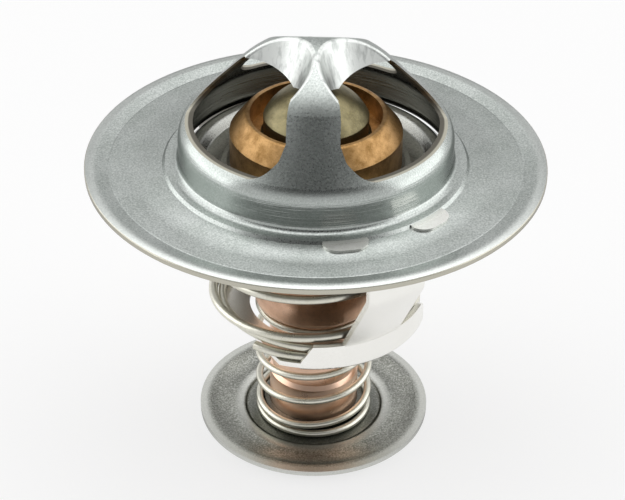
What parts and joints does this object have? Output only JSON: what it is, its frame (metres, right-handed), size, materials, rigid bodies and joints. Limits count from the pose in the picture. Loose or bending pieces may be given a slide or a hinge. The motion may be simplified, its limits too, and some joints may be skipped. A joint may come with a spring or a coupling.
{
  "type": "engine thermostat",
  "caption": "Wax-element engine coolant thermostat with a round steel flange, arched bridge, spring-loaded main valve and sprung bypass disc.",
  "frame": {"origin": "centre of the underside of the bypass disc, which the thermostat stands on", "axes": "+Z along the axis towards the crown of the bridge; -Y towards the front leg of the bridge, which faces the camera; +X to the right"},
  "size_m": [0.067, 0.067, 0.0654],
  "materials": {
    "plated_steel": "satin",
    "stainless_steel": "satin",
    "spring_wire": "satin",
    "brass": "satin",
    "dull_brass": "satin",
    "copper": "satin",
    "rubber": "matte",
    "wax": "matte",
    "washer": "matte"
  },
  "bodies": {
    "frame": {"bridge_flange": "plated_steel", "lower_frame": "stainless_steel", "piston": "stainless_steel", "main_spring": "spring_wire"},
    "valve": {"wax_cup": "copper", "wax_charge": "wax", "rubber_sleeve": "rubber", "seal_washer": "washer", "element_guide": "dull_brass", "valve_collar": "brass", "main_valve": "plated_steel", "bypass_spring": "spring_wire", "snap_ring": "spring_wire"},
    "bypass": {"bypass_disc": "plated_steel"}
  },
  "joints": [
    {"name": "valve_slide", "type": "slide", "parent": "frame", "child": "valve", "axis": [0, 0, -1], "range_m": [0, 0.008], "stiffness_N_per_m": 1000, "springref_m": -0.01, "deforming": ["main_spring"]},
    {"name": "bypass_slide", "type": "slide", "parent": "valve", "child": "bypass", "axis": [0, 0, 1], "range_m": [0, 0.005], "stiffness_N_per_m": 500, "springref_m": -0.006, "deforming": ["bypass_spring"]}
  ]
}
